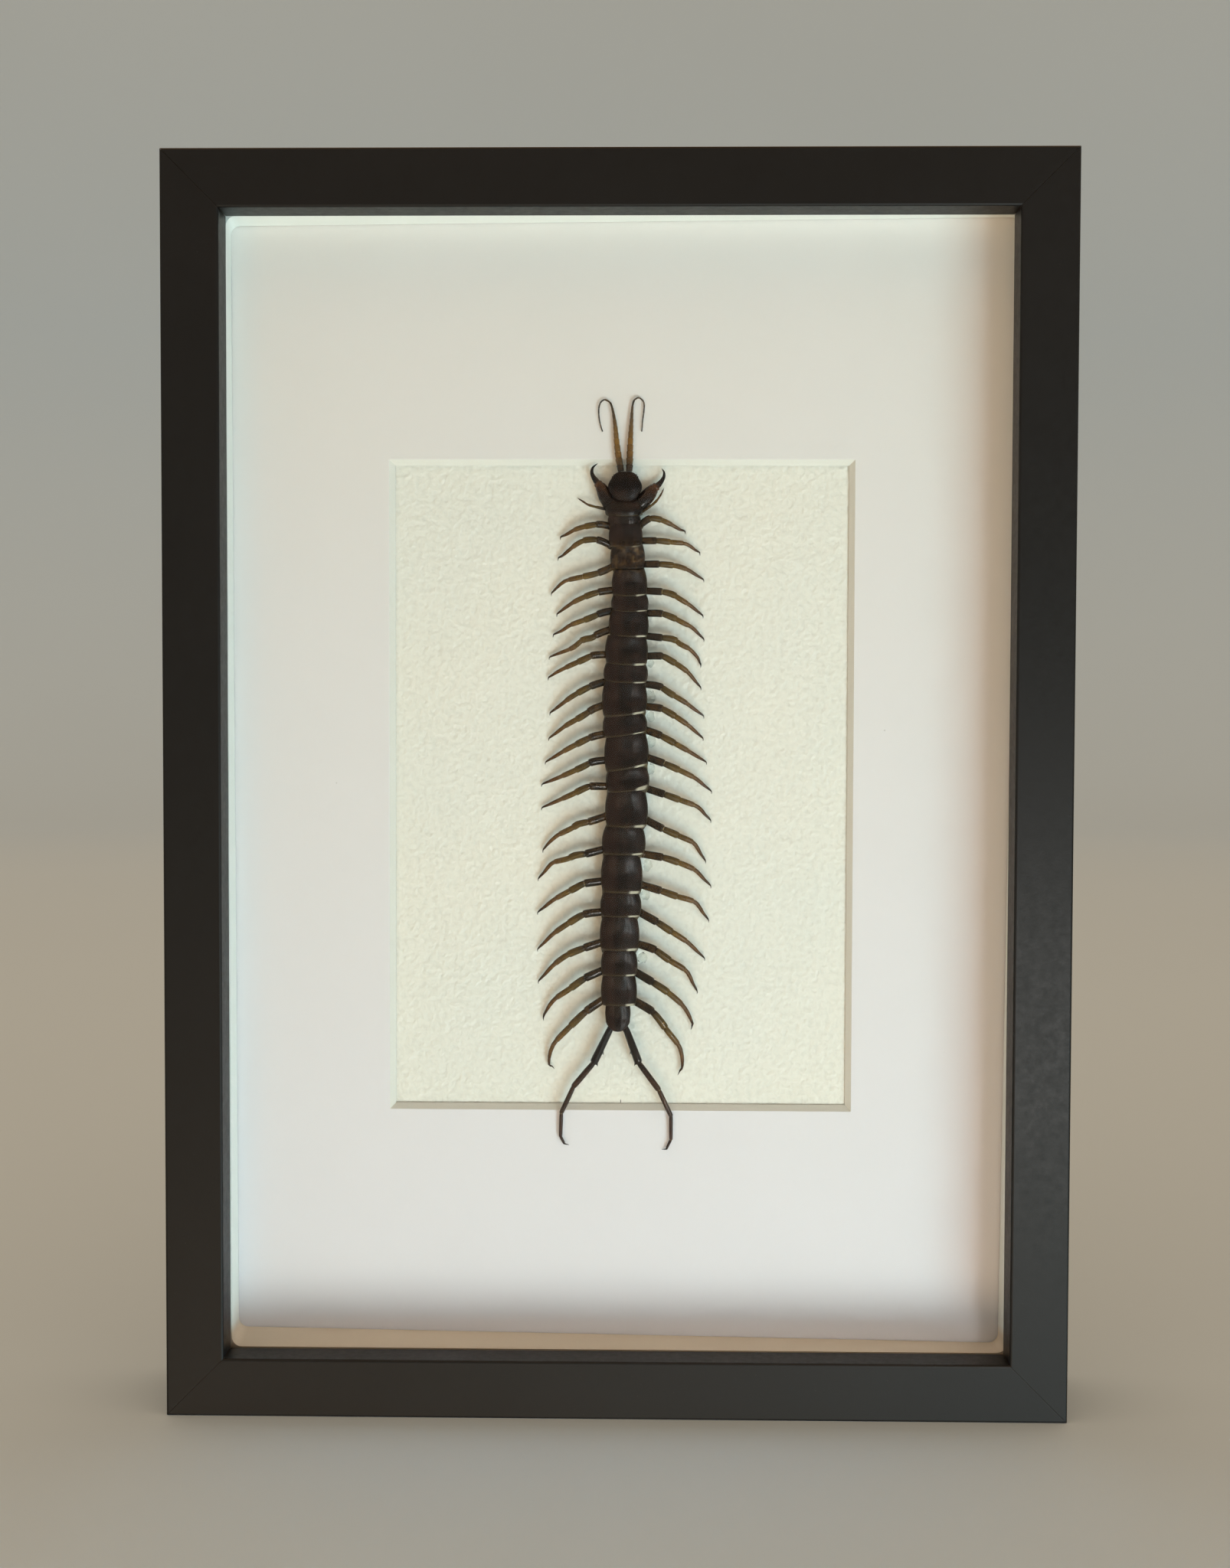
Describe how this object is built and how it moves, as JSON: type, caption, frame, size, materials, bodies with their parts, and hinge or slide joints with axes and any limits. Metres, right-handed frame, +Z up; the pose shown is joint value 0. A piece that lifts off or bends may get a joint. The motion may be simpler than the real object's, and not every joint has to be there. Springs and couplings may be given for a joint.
{
  "type": "framed centipede specimen",
  "caption": "Dried centipede specimen in a black box frame: mitred rails, clear pane, white spacer ring, bevelled window mat and rough paper behind the animal.",
  "frame": {"origin": "middle of the frame's underside, where it stands on a shelf", "axes": "+Z up along the frame's height, -Y out of its glazed front, +X to the viewer's right"},
  "size_m": [0.229, 0.035, 0.32],
  "materials": {
    "black_foil": "satin black foil over fibreboard",
    "clear_pane": "clear polished",
    "white_card": "smooth white card",
    "mat_board": "smooth white mat board",
    "rough_paper": "rough cream watercolour paper",
    "hardboard": "brown pressed fibre",
    "steel": "plated steel",
    "shell": "glossy dark brown cuticle",
    "clear_glue": "clear glossy glue"
  },
  "bodies": {
    "root": {"rail_top": "black_foil", "rail_bottom": "black_foil", "rail_left": "black_foil", "rail_right": "black_foil", "glazing": "clear_pane", "spacer": "white_card", "mat": "mat_board", "backing_paper": "rough_paper", "backing_board": "hardboard", "tab_1": "steel", "tab_2": "steel", "tab_3": "steel", "tab_4": "steel", "tab_5": "steel", "tab_6": "steel", "tab_7": "steel", "tab_8": "steel", "hanger": "steel", "centipede": "shell", "glue_bead_1": "clear_glue", "glue_bead_2": "clear_glue", "glue_bead_3": "clear_glue", "glue_bead_4": "clear_glue", "glue_bead_5": "clear_glue", "glue_bead_6": "clear_glue", "glue_bead_7": "clear_glue", "glue_bead_8": "clear_glue"}
  },
  "joints": []
}
